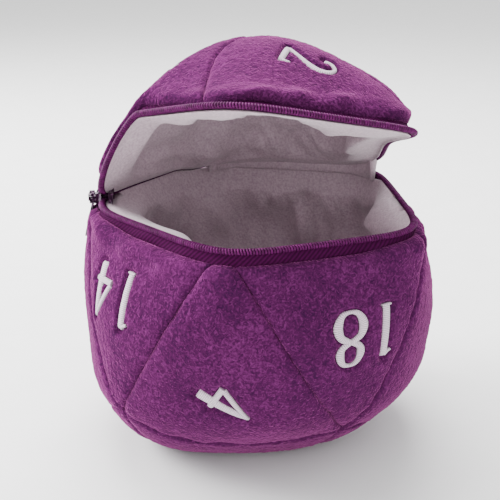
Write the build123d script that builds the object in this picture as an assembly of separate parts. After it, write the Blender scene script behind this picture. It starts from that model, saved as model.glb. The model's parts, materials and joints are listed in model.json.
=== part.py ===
from build123d import *
import math
import os

# Plush twenty-sided dice bag. Millimetres, +Z up, origin at the centre of the flat base, with a
# corner of the five-sided mouth facing -Y. The wall is a sewn sandwich of plush, padding and
# lining. A coil zip runs round four sides of the mouth and the lid hinges on the fifth, at +Y.

# Driving dimensions
BALL_R = 70.0  # outer radius of the plush ball
BASE_CUT = 7.5  # how much of the ball the flat base takes off
RIM_RISE = 34.3  # height of the zip above the ball's centre
PLUSH = 2.5  # pile fabric with its backing
PADDING = 5.5  # foam layer under the plush
LINING = 0.8  # inner fabric
MOUTH_INSET = 1.0  # the clear mouth's edge, inwards from the coils
TAPE = 0.6  # thickness of the zip tape
COIL_WIDTH = 1.8  # across a coil, radially
COIL_HEIGHT = 2.3  # along the tape
COIL_GAP = 1.4  # between the two coils when the lid is shut
BODY_EDGE = 7.0  # tape shown below the rim height
TAPE_TUCK = 5.0  # tape sewn in under the plush
LID_TAPE_SLOPE = 0.5  # rise of the upper tape for each millimetre towards the middle
LID_TAPE_WIDTH = 9.8  # upper tape, from its outer edge inwards
HEM_DROP = 4.0  # top of the lining's hem below the rim height
HINGE_INSET = 6.0  # the fabric hinge's line, inwards from the coils' circle at the back
HINGE_ROLL_R = 1.6  # rolled seam that the lid turns on
HINGE_SHELF = 2.8  # thickness of the seam allowance under the roll
LID_OPEN = 22.5  # how far the stored lid stands open, in degrees
CLEAR = 0.3  # running clearance between pieces that move past each other
ZIP_END = 140.0  # azimuth where the coils stop, on each side
STOP_WIDTH = 1.6  # end stop, along the rim
SLIDER_AT = -76.0  # azimuth of the slider as stored
SLIDER_LENGTH = 8.0  # along the rim
SLIDER_PLATE = 1.0  # thickness of each plate
SLIDER_REACH = 1.0  # how far the plates reach past the coil, downwards
POST_WIDTH = 2.4  # the post between the plates, along the rim
EAR_GAP = 3.2  # between the ears that hold the pull
EAR_WIDTH = 0.8
EAR_REACH = 2.6  # how far the ears stand out of the outer plate
PIN_R = 0.5  # pull's pin
PIN_FIT = 0.1  # radial clearance of the eye on the pin
PIN_STANDOFF = 1.6  # pin's centre from the outer plate
EYE_WALL = 0.7  # material round the eye
PULL_LENGTH = 16.0
PULL_WIDTH = 5.0
PULL_THICK = 1.0
PULL_NECK = 3.0  # narrow stretch below the eye
PULL_TILT = 14.0  # how far the hanging pull leans out, in degrees
NUMBER_HEIGHT = 18.5
NUMBER_RISE = 0.7  # embroidery above the plush
STROKE = 2.6  # stroke of the numerals
LID_NUMBER_TILT = 37.4  # angle from straight up to the numerals' centres, on each ring of faces
DOWN_NUMBER_TILT = 87.0
UP_NUMBER_TILT = 109.0
BASE_NUMBER_TILT = 143.0
BASE_NUMBER_SCALE = 0.8  # numerals under the bag are smaller
LOW_RING_DROP = 34.5  # lower ring of corners, below the ball's centre

# Worked out from the driving dimensions
SIDES = 5  # corners round the mouth, as on an icosahedron
STEP = 360 / SIDES
FAR = 4 * BALL_R  # safely outside the ball
CENTRE_Z = BALL_R - BASE_CUT
RIM_Z = CENTRE_Z + RIM_RISE
RIM_R = math.sqrt(BALL_R**2 - RIM_RISE**2)  # the circle that the coils follow, on the ball
COIL_IN = RIM_R - COIL_WIDTH / 2
COIL_OUT = RIM_R + COIL_WIDTH / 2
MOUTH_R = COIL_IN - MOUTH_INSET
HINGE_Y = RIM_R - HINGE_INSET
COIL_LOW = RIM_Z - COIL_GAP / 2 - COIL_HEIGHT
COIL_TOP = RIM_Z + COIL_GAP / 2 + COIL_HEIGHT
BACKING_R = BALL_R - PLUSH
LINING_R = BACKING_R - PADDING
INSIDE_R = LINING_R - LINING
UPRIGHT = (Align.CENTER, Align.CENTER, Align.MIN)  # standing on its origin

GLYPHS = {
    "0": [[(2, 3), (0, 7), (0, 13), (2, 17), (5, 20), (8, 17), (10, 13), (10, 7), (8, 3), (5, 0), (2, 3)]],
    "1": [[(2, 17), (5, 20), (5, 0)], [(2, 0), (8, 0)]],
    "2": [[(0, 15), (2, 19), (5, 20), (9, 18), (9, 13), (0, 0), (10, 0)]],
    "3": [[(1, 18), (5, 20), (9, 17), (8, 12), (4, 11), (9, 9), (10, 4), (5, 0), (0, 2)]],
    "4": [[(7, 0), (7, 20), (0, 6), (10, 6)]],
    "5": [[(9, 20), (2, 20), (1, 11), (6, 12), (10, 8), (9, 2), (4, 0), (0, 2)]],
    "6": [[(8, 19), (3, 15), (0, 7), (2, 1), (6, 0), (10, 4), (9, 9), (5, 11), (1, 8)]],
    "7": [[(0, 17), (0, 20), (10, 20), (4, 0)]],
    "8": [[(5, 11), (1, 14), (2, 19), (8, 19), (9, 14), (5, 11), (0, 6), (2, 1), (8, 1), (10, 6), (5, 11)]],
    "9": [[(2, 1), (7, 5), (10, 13), (8, 19), (4, 20), (0, 16), (1, 11), (5, 9), (9, 12)]],
}
GLYPH_WIDTH = 10.0
GLYPH_HEIGHT = 20.0
GLYPH_SPACE = 4.0

# Numbers on the faces, in order round the bag from the front corner
LID_NUMBERS = [2, 12, 10, 8, 20]
DOWN_NUMBERS = [18, 15, 17, 16, 14]
UP_NUMBERS = [4, 5, 7, 3, 6]
BASE_NUMBERS = [11, 13, 1, 19, 9]
DOWN_NUMBER_TURN = [7.0, 0, 0, 0, -5.0]  # azimuth of each numeral from the middle of its panel, as sewn


def around(azimuth, radius, height):
    """A point at an azimuth, counted from -Y towards +X."""
    a = math.radians(azimuth)
    return Vector(radius * math.sin(a), -radius * math.cos(a), height)


def direction(azimuth, tilt):
    """A unit vector, tilted away from straight up."""
    t = math.radians(tilt)
    return around(azimuth, math.sin(t), math.cos(t))


def slab(low, high):
    """Everything between two heights."""
    return Pos(0, 0, low) * Box(FAR, FAR, high - low, align=UPRIGHT)


def ball(radius, floor=0.0):
    """The bag's ball at one layer, cut flat at that layer's floor."""
    return Pos(0, 0, CENTRE_Z) * Sphere(radius) & slab(floor, FAR)


def disc(radius, low, high):
    """A round block about the bag's axis."""
    return Pos(0, 0, low) * Cylinder(radius, high - low, align=UPRIGHT)


def tube(inner, outer, low, high):
    """A ring about the bag's axis."""
    return disc(outer, low, high) - disc(inner, low, high)


def turned(points):
    """A profile in radius and height, turned about the bag's axis."""
    outline = Polyline(*[(r, 0, z) for r, z in points], close=True)
    return revolve(make_face(outline), Axis.Z)


def sector(start, end):
    """A wedge between two azimuths, less than half a turn apart."""
    corners = [Vector(0, 0, -FAR), around(start, FAR, -FAR), around(end, FAR, -FAR)]
    return extrude(make_face(Polyline(*corners, close=True)), 2 * FAR, dir=(0, 0, 1))


def arc_between(shape, start, end):
    """The stretch of a ring between two azimuths, through the front."""
    parts = [shape & sector(start, start / 2), shape & sector(start / 2, 0)]
    parts += [shape & sector(0, end / 2), shape & sector(end / 2, end)]
    return parts[0] + parts[1] + parts[2] + parts[3]


def pyramid(a, b, c):
    """A three-sided wedge from the ball's centre, out through three points of it."""
    centre = Vector(0, 0, CENTRE_Z)
    far = [centre + (p - centre).normalized() * FAR for p in (a, b, c)]
    loops = [(centre, far[0], far[1]), (centre, far[1], far[2]), (centre, far[2], far[0]), tuple(far)]
    return Solid(Shell([Face(Wire.make_polygon(loop)) for loop in loops]))


def write(shape, node):
    export_step(shape, f"parts/{node}.step")


def glyph(text, scale):
    """A number drawn with round-ended strokes, centred on the origin."""
    pitch = GLYPH_WIDTH + GLYPH_SPACE
    left = -(len(text) * pitch - GLYPH_SPACE) / 2
    drawing = None
    for place, digit in enumerate(text):
        for line in GLYPHS[digit]:
            points = [(left + place * pitch + x, y - GLYPH_HEIGHT / 2) for x, y in line]
            points = [Vector(x * scale, y * scale) for x, y in points]
            for start, end in zip(points, points[1:]):
                bar = SlotCenterToCenter((end - start).length, STROKE * scale)
                angle = math.degrees(math.atan2(end.Y - start.Y, end.X - start.X))
                middle = (start + end) / 2
                piece = Pos(middle.X, middle.Y) * Rot(0, 0, angle) * bar
                drawing = piece if drawing is None else drawing + piece
    return drawing


def number(value, azimuth, tilt, lean, scale=1.0):
    """A number raised on the ball, its top turned by lean from straight up the face."""
    normal = direction(azimuth, tilt)
    start = Vector(0, 0, CENTRE_Z) + normal * BACKING_R
    plane = Plane(origin=start, x_dir=around(azimuth + 90, 1, 0), z_dir=normal)
    drawing = glyph(str(value), scale * NUMBER_HEIGHT / GLYPH_HEIGHT)
    return (plane * Rot(0, 0, lean) * extrude(drawing, 2 * PLUSH + NUMBER_RISE)) & raised


os.makedirs("parts", exist_ok=True)

# Layers of the ball, each cut flat at its own floor
outside = ball(BALL_R)
backing = ball(BACKING_R, PLUSH)
lining_outer = ball(LINING_R, PLUSH + PADDING)
inside = ball(INSIDE_R, PLUSH + PADDING + LINING)
raised = ball(BALL_R + NUMBER_RISE) - outside

# Body: zip half, lining and padding
hem_top = RIM_Z - HEM_DROP
tape_in = RIM_R - TAPE / 2
tape_room = backing + slab(RIM_Z - BODY_EDGE, FAR)  # tucked behind the plush, bare above its edge
tape_lower = tube(tape_in, tape_in + TAPE, RIM_Z - BODY_EDGE - TAPE_TUCK, COIL_LOW) & tape_room
coil_lower = arc_between(tube(COIL_IN, COIL_OUT, COIL_LOW, COIL_LOW + COIL_HEIGHT), -ZIP_END, ZIP_END)
cavity = (inside & disc(MOUTH_R, 0, FAR)) + disc(MOUTH_R, CENTRE_Z, FAR)
lined_cavity = (lining_outer & disc(MOUTH_R + LINING, 0, FAR)) + disc(MOUTH_R + LINING, CENTRE_Z, FAR)
plain_lining = (lined_cavity - cavity) & slab(0, hem_top)
lining_body = plain_lining + tube(MOUTH_R, tape_in, hem_top - LINING, hem_top)
within_tape = disc(tape_in, RIM_Z - BODY_EDGE, hem_top - LINING)
padding_body = (backing & slab(0, RIM_Z - BODY_EDGE)) + within_tape - lined_cavity - tape_lower
write(tape_lower, "zip_tape_lower")
write(coil_lower, "zip_coil_lower")
write(lining_body, "body_lining")
write(padding_body, "body_padding")

# Body: plush panels
top_ring = [around(i * STEP, RIM_R, RIM_Z) for i in range(SIDES)]
low_r = math.sqrt(BALL_R**2 - LOW_RING_DROP**2)
low_ring = [around((i + 0.5) * STEP, low_r, CENTRE_Z - LOW_RING_DROP) for i in range(SIDES)]
bottom = Vector(0, 0, 0)
plush_body = (outside - backing) & slab(0, RIM_Z - BODY_EDGE)
for i in range(SIDES):
    after = (i + 1) % SIDES
    before = (i - 1) % SIDES
    down = pyramid(top_ring[i], top_ring[after], low_ring[i])
    up = pyramid(top_ring[i], low_ring[before], low_ring[i])
    base = pyramid(low_ring[before], low_ring[i], bottom)
    write(plush_body & down, f"side_panel_{DOWN_NUMBERS[i]}")
    write(plush_body & up, f"side_panel_{UP_NUMBERS[i]}")
    write(plush_body & base, f"base_panel_{BASE_NUMBERS[i]}")
    middle = (i + 0.5) * STEP + DOWN_NUMBER_TURN[i]
    write(number(DOWN_NUMBERS[i], middle, DOWN_NUMBER_TILT, 180), f"number_{DOWN_NUMBERS[i]}")
    write(number(UP_NUMBERS[i], i * STEP, UP_NUMBER_TILT, -120), f"number_{UP_NUMBERS[i]}")
    under = number(BASE_NUMBERS[i], i * STEP, BASE_NUMBER_TILT, 0, BASE_NUMBER_SCALE)
    write(under, f"number_{BASE_NUMBERS[i]}")

# Hinge: a rolled seam on a shelf of seam allowance, across the back of the mouth
half_length = math.sqrt(tape_in**2 - (HINGE_Y + HINGE_ROLL_R) ** 2) - CLEAR
roll = Pos(0, HINGE_Y, RIM_Z) * Rot(0, 90, 0) * Cylinder(HINGE_ROLL_R, 2 * half_length)
shelf = disc(tape_in, hem_top, hem_top + HINGE_SHELF)
behind = Pos(0, HINGE_Y - HINGE_ROLL_R, 0) * Box(FAR, FAR, FAR, align=(Align.CENTER, Align.MIN, Align.CENTER))
write((shelf & behind) + roll, "hinge_seam")

# End stops on the lower coil
stop_ring = tube(COIL_IN - CLEAR, COIL_OUT + CLEAR, COIL_LOW, COIL_LOW + COIL_HEIGHT)
stop_turn = math.degrees(STOP_WIDTH / RIM_R)
for side, node in ((1, "zip_stop_right"), (-1, "zip_stop_left")):
    ends = sorted((side * ZIP_END, side * (ZIP_END + stop_turn)))
    write(stop_ring & sector(*ends), node)

# Lid, modelled shut and then turned open about the hinge
hinge = Axis((0, HINGE_Y, RIM_Z), (-1, 0, 0))
front = Pos(0, HINGE_Y, 0) * Box(FAR, FAR, FAR, align=(Align.CENTER, Align.MAX, Align.CENTER))
relief = Pos(0, HINGE_Y, RIM_Z) * Rot(0, 90, 0) * Cylinder(HINGE_ROLL_R + CLEAR, FAR)
lid_space = front - relief
tape_top = COIL_TOP + TAPE
lid_tape_out = RIM_R + TAPE / 2


def tape_line(radius):
    """Height of the upper tape's top face at a radius."""
    return tape_top + LID_TAPE_SLOPE * (COIL_IN - radius)


lid_tape_in = lid_tape_out - LID_TAPE_WIDTH
above_tape = turned([(0, tape_line(0)), (BALL_R, tape_line(BALL_R)), (BALL_R, FAR), (0, FAR)])
band = [(lid_tape_in, tape_line(lid_tape_in)), (lid_tape_out, tape_line(lid_tape_out))]
band += [(r, z - TAPE) for r, z in reversed(band)]
upper_ring = tube(COIL_IN, COIL_OUT, COIL_TOP - COIL_HEIGHT, COIL_TOP)
tape_upper = (turned(band) - upper_ring) & lid_space
coil_upper = arc_between(upper_ring, -ZIP_END, ZIP_END) & lid_space
over_rim = slab(COIL_TOP - COIL_HEIGHT, FAR)
padding_lid = (((backing - lining_outer) & over_rim) - tape_upper) & lid_space
lining_lid = ((lining_outer - inside) & over_rim) & lid_space
plush_lid = ((outside - backing) & above_tape) & lid_space


def open_lid(shape):
    return shape.rotate(hinge, LID_OPEN)


write(open_lid(tape_upper), "zip_tape_upper")
write(open_lid(coil_upper), "zip_coil_upper")
write(open_lid(padding_lid), "lid_padding")
write(open_lid(lining_lid), "lid_lining")
for i, name in enumerate(LID_NUMBERS):
    write(open_lid(plush_lid & sector(i * STEP, (i + 1) * STEP)), f"lid_panel_{name}")
    write(open_lid(number(name, (i + 0.5) * STEP, LID_NUMBER_TILT, 120)), f"number_{name}")

# Slider: two plates joined by a post between the coils, with ears and a pin for the pull
plate_low = COIL_LOW - SLIDER_REACH
plate_top = COIL_TOP - CLEAR
plate_in = COIL_IN - CLEAR
plate_out = COIL_OUT + CLEAR
half_turn = math.degrees(SLIDER_LENGTH / 2 / RIM_R)
post_turn = math.degrees(POST_WIDTH / 2 / RIM_R)
plates = tube(plate_in - SLIDER_PLATE, plate_in, plate_low, plate_top)
plates += tube(plate_out, plate_out + SLIDER_PLATE, plate_low, plate_top)
lips = tube(plate_in, tape_in - CLEAR, plate_low, COIL_LOW - CLEAR)
lips += tube(tape_in + TAPE + CLEAR, plate_out, plate_low, COIL_LOW - CLEAR)
post_half = COIL_GAP / 2 - CLEAR
post = tube(plate_in - SLIDER_PLATE / 2, plate_out + SLIDER_PLATE / 2, RIM_Z - post_half, RIM_Z + post_half)
slider = (plates + lips) & sector(SLIDER_AT - half_turn, SLIDER_AT + half_turn)
slider += post & sector(SLIDER_AT - post_turn, SLIDER_AT + post_turn)
face_r = plate_out + SLIDER_PLATE
pin_r = face_r + PIN_STANDOFF
pin_middle = around(SLIDER_AT, pin_r, RIM_Z)
local = Plane(origin=pin_middle, x_dir=around(SLIDER_AT + 90, 1, 0), z_dir=around(SLIDER_AT, 1, 0))
ear_depth = EAR_REACH + SLIDER_PLATE / 2
ear_out = face_r + EAR_REACH - pin_r
for side in (-1, 1):
    ear = Box(EAR_WIDTH, 2 * (PIN_R + EYE_WALL), ear_depth, align=(Align.CENTER, Align.CENTER, Align.MAX))
    slider += local * Pos(side * (EAR_GAP + EAR_WIDTH) / 2, 0, ear_out) * ear
pin = Rot(0, 90, 0) * Cylinder(PIN_R, EAR_GAP + EAR_WIDTH)
slider += local * pin
write(slider, "zip_slider")

# Pull: an eye on the pin, a narrow neck and a flat tab, hanging and leaning out
eye_r = PIN_R + PIN_FIT + EYE_WALL
neck_width = EAR_GAP - 2 * CLEAR
eye = Rot(0, 90, 0) * Cylinder(eye_r, neck_width)
neck = Box(neck_width, PULL_NECK + eye_r, PULL_THICK, align=(Align.CENTER, Align.MAX, Align.CENTER))
tab_length = PULL_LENGTH - PULL_NECK
tab_outline = RectangleRounded(PULL_WIDTH, tab_length, neck_width / 2)
tab = Pos(0, -PULL_NECK - tab_length / 2, 0) * extrude(tab_outline, PULL_THICK / 2, both=True)
hole = Rot(0, 90, 0) * Cylinder(PIN_R + PIN_FIT, FAR)
pull = local * Rot(-PULL_TILT, 0, 0) * (eye + neck + tab - hole)
write(pull, "zip_pull")
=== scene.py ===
"""Builds the looks of a plush twenty-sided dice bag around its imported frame."""

import json
import math

import bmesh
import bpy
import numpy as np
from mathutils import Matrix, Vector, noise


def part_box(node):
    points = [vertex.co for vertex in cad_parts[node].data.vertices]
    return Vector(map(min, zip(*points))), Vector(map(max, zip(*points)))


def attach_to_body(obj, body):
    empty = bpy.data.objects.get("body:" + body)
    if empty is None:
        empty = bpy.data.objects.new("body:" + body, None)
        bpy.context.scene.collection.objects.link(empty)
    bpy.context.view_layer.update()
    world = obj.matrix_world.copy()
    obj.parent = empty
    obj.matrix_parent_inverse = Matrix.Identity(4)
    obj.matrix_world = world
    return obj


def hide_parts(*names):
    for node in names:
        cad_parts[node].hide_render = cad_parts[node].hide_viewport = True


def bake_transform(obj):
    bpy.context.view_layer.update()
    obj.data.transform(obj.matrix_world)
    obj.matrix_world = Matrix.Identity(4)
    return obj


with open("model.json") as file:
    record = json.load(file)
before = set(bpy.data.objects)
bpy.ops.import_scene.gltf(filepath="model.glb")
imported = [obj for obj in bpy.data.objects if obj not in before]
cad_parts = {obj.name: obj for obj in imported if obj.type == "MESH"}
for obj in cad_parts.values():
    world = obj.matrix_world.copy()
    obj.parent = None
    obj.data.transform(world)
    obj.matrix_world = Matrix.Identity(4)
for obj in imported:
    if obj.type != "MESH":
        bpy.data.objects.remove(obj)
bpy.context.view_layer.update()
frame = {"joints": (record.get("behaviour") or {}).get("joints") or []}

bl_info = {
    "name": "Plush Dice Bag",
    "version": (1, 0, 0),
    "blender": (4, 5, 0),
    "location": "3D View > Sidebar > Dice Bag",
    "description": "Makes a plush twenty-sided dice bag with a zipped, lined lid",
    "category": "Add Mesh",
}

# Sizes are in millimetres here and become metres where a mesh is made.
MM = 0.001
JOINTS = {joint["name"]: joint for joint in frame["joints"]}


def box_mm(node):
    """Lowest and highest corner of a frame node, in millimetres."""
    low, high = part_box(node)
    return np.array(low) / MM, np.array(high) / MM


# What the frame fixes
HINGE = np.array(JOINTS["lid_hinge"]["pos_m"]) / MM
REST_OPEN = -math.radians(JOINTS["lid_hinge"]["range_deg"][0])
PULL_PIN = np.array(JOINTS["pull_swing"]["pos_m"]) / MM
RIM_Z = HINGE[2]
BALL_R = -box_mm("side_panel_6")[0][0]
CENTRE_Z = 62.5  # the ball's centre; the base is where the ball would go through the table
UP = np.array([0, 0, 1.0])
RIM_R = math.sqrt(BALL_R**2 - (RIM_Z - CENTRE_Z) ** 2)
SLIDER_AZ = math.atan2(PULL_PIN[0], -PULL_PIN[1])

# Layout of the panels, angles in degrees, azimuth from the front corner towards +X
SIDES = 5
STEP = 360 / SIDES
RIM_TILT = math.degrees(math.acos((RIM_Z - CENTRE_Z) / BALL_R))
BODY_EDGE_TILT = 65.3  # plush ends here below the zip
BODY_SIDE_TILT = 63.9  # and a little nearer to it at the sides
BODY_SIDE_FROM = (42, 62)  # between these azimuths to either side of the front
LID_EDGE_TILT = 56.0  # and here above it
BACK_BODY_TILT = 61.5  # along the hinge the plush comes up to the seam
BACK_LID_TILT = 59.8
HINGE_CORNERS = (144.0, 216.0)
ZIP_END = 141.0
# Azimuth that each side of the mouth faces and its distance from the middle
MOUTH_FACING = (31.5, 105.6, 180.0, 250.4, 324.3)
MOUTH_SIDES = (58.8, 55.0, HINGE[1], 53.8, 55.2)
# Azimuth and tilt of the lower ring of corners, which sags towards the front left
LOW_CORNERS = ((45, 128), (116, 122), (180, 122), (252, 122), (322, 119))
# Azimuth of the seams between the lid's panels at its edge; the front one runs askew
LID_SEAMS = (-11, 71, 144, 216, 286)
LID_SEAM_SKEW = 26
# Soft bulges and hollows: azimuth, tilt, height, width round and width up; five round the base,
# then five over the lid
BULGES = ((-47.4, 132.2, 9.0, 24, 22), (62, 132, 1.7, 19, 22), (108, 128, 4, 22, 20),
          (180, 128, 4, 22, 20), (252, 130, 5, 24, 20),
          (-85, 45, 8.4, 26, 17), (0, 42, -3.6, 26, 17), (95, 45, 6.0, 26, 17),
          (140, 42, -1.4, 26, 17), (55, 42, -1.7, 26, 17))
CROWN_RISE = 3.4
CROWN_WIDTH = 26.0
MOUTH_SHARPNESS = 8
SLIDER_CORNER = (-72, 26, 2.0)  # this corner of the mouth is rounder: azimuth, width, by how much
CORNER_GROWTH = 0.006  # what a softer corner loses in radius is given back
MOUTH_REACH = 24.0  # how far above and below the rim the mouth's five sides still show
# The bag sits wider just above the table: by what share, at what height and over what height
BELLY_SHARE = 0.022
BELLY_Z = 29.4
BELLY_TALL = 11.6
SLACK = 0.55  # unevenness of the cloth, over about this length
SLACK_LENGTH = 55
SEAT_SOFTNESS = 12  # how softly the underside flattens on the table, in square millimetres
SEAT_SINK = 0.45
SEAT_HEIGHT = 14  # up to where it sinks
LEAST_Z = 0.02
LID_NUMBERS = (2, 12, 10, 8, 20)
DOWN_NUMBERS = (18, 15, 17, 16, 14)
UP_NUMBERS = (4, 5, 7, 3, 6)
BASE_NUMBERS = (11, 13, 1, 19, 9)
# Where the lid's cloth passes from the side that is still zipped to the part that lifts
LIFT_WAY = np.array([0.87, -0.45, -0.2])
LIFT_WAY /= np.linalg.norm(LIFT_WAY)
LIFT_START = -68.0
LIFT_END = -44.0
LIFT_ROUNDS = 90
# Where the lid's rim is drawn in, and how far in and up
TUCK_AZ = 102.0
TUCK_WIDE = 30.0
TUCK_TALL = 14
TUCK_IN = 5.5
TUCK_UP = 3.0

ROWS = 88  # mesh rows and columns of a plush panel
COLUMNS = 88


# ---------------------------------------------------------------- shape of the ball


def smooth(low, high, value):
    """0 below low, 1 above high, smooth between."""
    t = np.clip((value - low) / (high - low), 0, 1)
    return t * t * (3 - 2 * t)


def mouth_radius(azimuth):
    """Radius of the rim: a pentagon with soft corners and sides at their own distances."""
    corner, wide, rounder = SLIDER_CORNER
    turn = (np.degrees(azimuth) - corner + 180) % 360 - 180
    share = np.exp(-((turn / wide) ** 2))
    sharpness = MOUTH_SHARPNESS - rounder * share
    total = 0
    for side, distance in enumerate(MOUTH_SIDES):
        facing = np.cos(azimuth - math.radians(MOUTH_FACING[side]))
        total = total + (np.maximum(facing, 0) / distance) ** sharpness
    return total ** (-1 / sharpness) * (1 + CORNER_GROWTH * rounder * share)


def radial(azimuth, tilt):
    """Unit vectors out of the ball's centre; angles in radians."""
    azimuth, tilt = np.broadcast_arrays(azimuth, tilt)
    across = np.sin(tilt)
    return np.stack([across * np.sin(azimuth), -across * np.cos(azimuth), np.cos(tilt)], -1)


def wobble(points, wavelength, seed, waves=7):
    """Smooth seeded unevenness between about -1 and 1."""
    rng = np.random.default_rng(seed)
    total = np.zeros(points.shape[:-1])
    for _ in range(waves):
        way = rng.normal(size=3)
        way /= np.linalg.norm(way)
        scale = 2 * math.pi / (wavelength * rng.uniform(0.7, 1.5))
        total += np.sin(points @ way * scale + rng.uniform(0, 2 * math.pi))
    return total / waves**0.5


def skin(azimuth, tilt):
    """The bag's smooth outer surface with the lid shut."""
    azimuth, tilt = np.broadcast_arrays(azimuth, tilt)
    reach = BALL_R + CROWN_RISE * np.exp(-((tilt / math.radians(CROWN_WIDTH)) ** 2))
    for around, down, rise, wide, tall in BULGES:
        turn = (azimuth - math.radians(around) + math.pi) % (2 * math.pi) - math.pi
        across = turn * math.sin(math.radians(down)) / math.radians(wide)
        reach = reach + rise * np.exp(-(across**2) - ((tilt - math.radians(down)) / math.radians(tall)) ** 2)
    points = radial(azimuth, tilt) * reach[..., None]
    height = points[..., 2] + CENTRE_Z
    pull_in = mouth_radius(azimuth) / (BALL_R * math.sin(math.radians(RIM_TILT)))
    near_rim = np.exp(-(((height - RIM_Z) / MOUTH_REACH) ** 2))
    spread = 1 + (pull_in - 1) * near_rim
    spread += BELLY_SHARE * np.exp(-(((height - BELLY_Z) / BELLY_TALL) ** 2))
    points = points * np.stack([spread, spread, np.ones_like(spread)], -1)
    slack = SLACK * wobble(points, SLACK_LENGTH, seed=3) * (1 - 0.8 * near_rim)
    points = points + radial(azimuth, tilt) * slack[..., None]
    height = points[..., 2] + CENTRE_Z
    seated = (height + np.sqrt(height**2 + SEAT_SOFTNESS)) / 2
    seated -= SEAT_SINK * (1 - smooth(0, SEAT_HEIGHT, seated))
    points[..., 2] = np.maximum(seated, LEAST_Z)
    return points


def lifted(points, way=LIFT_WAY, start=LIFT_START, end=LIFT_END):
    """Shut positions carried to the stored pose, where the lid stands open.

    The turn of each point depends on where it ends up, so it is found by repeated halving.
    """
    rest = points.copy()
    back, up = points[..., 1] - HINGE[1], points[..., 2] - HINGE[2]
    for _ in range(LIFT_ROUNDS):
        angle = smooth(start, end, rest @ way) * REST_OPEN
        moved = points.copy()
        moved[..., 1] = HINGE[1] + back * np.cos(angle) + up * np.sin(angle)
        moved[..., 2] = HINGE[2] - back * np.sin(angle) + up * np.cos(angle)
        rest = 0.5 * rest + 0.5 * moved
    return moved


def tucked(points):
    """Shut positions of the lid's cloth with its rim drawn in beside the corner on the right."""
    turn = np.degrees(np.arctan2(points[..., 0], -points[..., 1])) - TUCK_AZ
    near_rim = np.exp(-(((points[..., 2] - RIM_Z) / TUCK_TALL) ** 2))
    share = np.exp(-((turn / TUCK_WIDE) ** 2)) * near_rim
    moved = points.copy()
    moved[..., :2] *= (1 - TUCK_IN / RIM_R * share)[..., None]
    moved[..., 2] += TUCK_UP * share
    return moved


# ---------------------------------------------------------------- meshes


def new_object(name, mesh):
    """An object in the scene from its data."""
    obj = bpy.data.objects.new(name, mesh)
    bpy.context.scene.collection.objects.link(obj)
    return obj


def finish_mesh(name, points, faces, material, uv=None, merge=0.004):
    """A closed, outward-facing, smooth-shaded object from points in millimetres."""
    mesh = bpy.data.meshes.new(name)
    mesh.from_pydata((np.asarray(points).reshape(-1, 3) * MM).tolist(), [], faces)
    if uv is not None:
        flat = np.asarray(uv).reshape(-1, 2)
        layer = mesh.uv_layers.new(name="along")
        corner = np.zeros(len(mesh.loops), np.int32)
        mesh.loops.foreach_get("vertex_index", corner)
        layer.data.foreach_set("uv", flat[corner].astype(np.float32).ravel())
    bm = bmesh.new()
    bm.from_mesh(mesh)
    bmesh.ops.remove_doubles(bm, verts=bm.verts, dist=merge * MM)
    bmesh.ops.recalc_face_normals(bm, faces=bm.faces)
    for face in bm.faces:
        face.smooth = True
    bm.to_mesh(mesh)
    bm.free()
    mesh.materials.append(material)
    return new_object(name, mesh)


def walls(outer, inner, wrap=False):
    """Points and faces of a closed wall between two matching grids of points."""
    rows, columns = outer.shape[:2]
    count = rows * columns
    grid = np.arange(count).reshape(rows, columns)
    last = columns if wrap else columns - 1
    faces = []
    for i in range(rows - 1):
        for j in range(last):
            k = (j + 1) % columns
            a, b, c, d = grid[i, j], grid[i, k], grid[i + 1, k], grid[i + 1, j]
            faces.append((int(a), int(b), int(c), int(d)))
            faces.append((int(a + count), int(d + count), int(c + count), int(b + count)))
    rims = [grid[0], grid[-1][::-1]]
    if wrap:
        rims = [np.append(rim, rim[0]) for rim in rims]
    else:
        rims += [grid[:, -1], grid[::-1, 0]]
    for rim in rims:
        for a, b in zip(rim, rim[1:]):
            faces.append((int(a), int(a + count), int(b + count), int(b)))
    return np.concatenate([outer.reshape(-1, 3), inner.reshape(-1, 3)]), faces


def tube_faces(count, around, base=0):
    """Faces of a closed tube of that many rings, its points numbered from a base."""
    faces = []
    for i in range(count - 1):
        for j in range(around):
            k = (j + 1) % around
            row, after = base + i * around, base + (i + 1) * around
            faces.append((row + j, row + k, after + k, after + j))
    faces.append(tuple(base + j for j in range(around)))
    faces.append(tuple(base + (count - 1) * around + j for j in reversed(range(around))))
    return faces


def nearest(points, line, chunk=4000):
    """Distance from each point to the nearest of a line's points."""
    flat = points.reshape(-1, 3)
    found = []
    for start in range(0, len(flat), chunk):
        gaps = flat[start : start + chunk, None] - line[None]
        found.append(np.sqrt((gaps**2).sum(-1).min(1)))
    return np.concatenate(found).reshape(points.shape[:-1])


# ---------------------------------------------------------------- numerals

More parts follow.
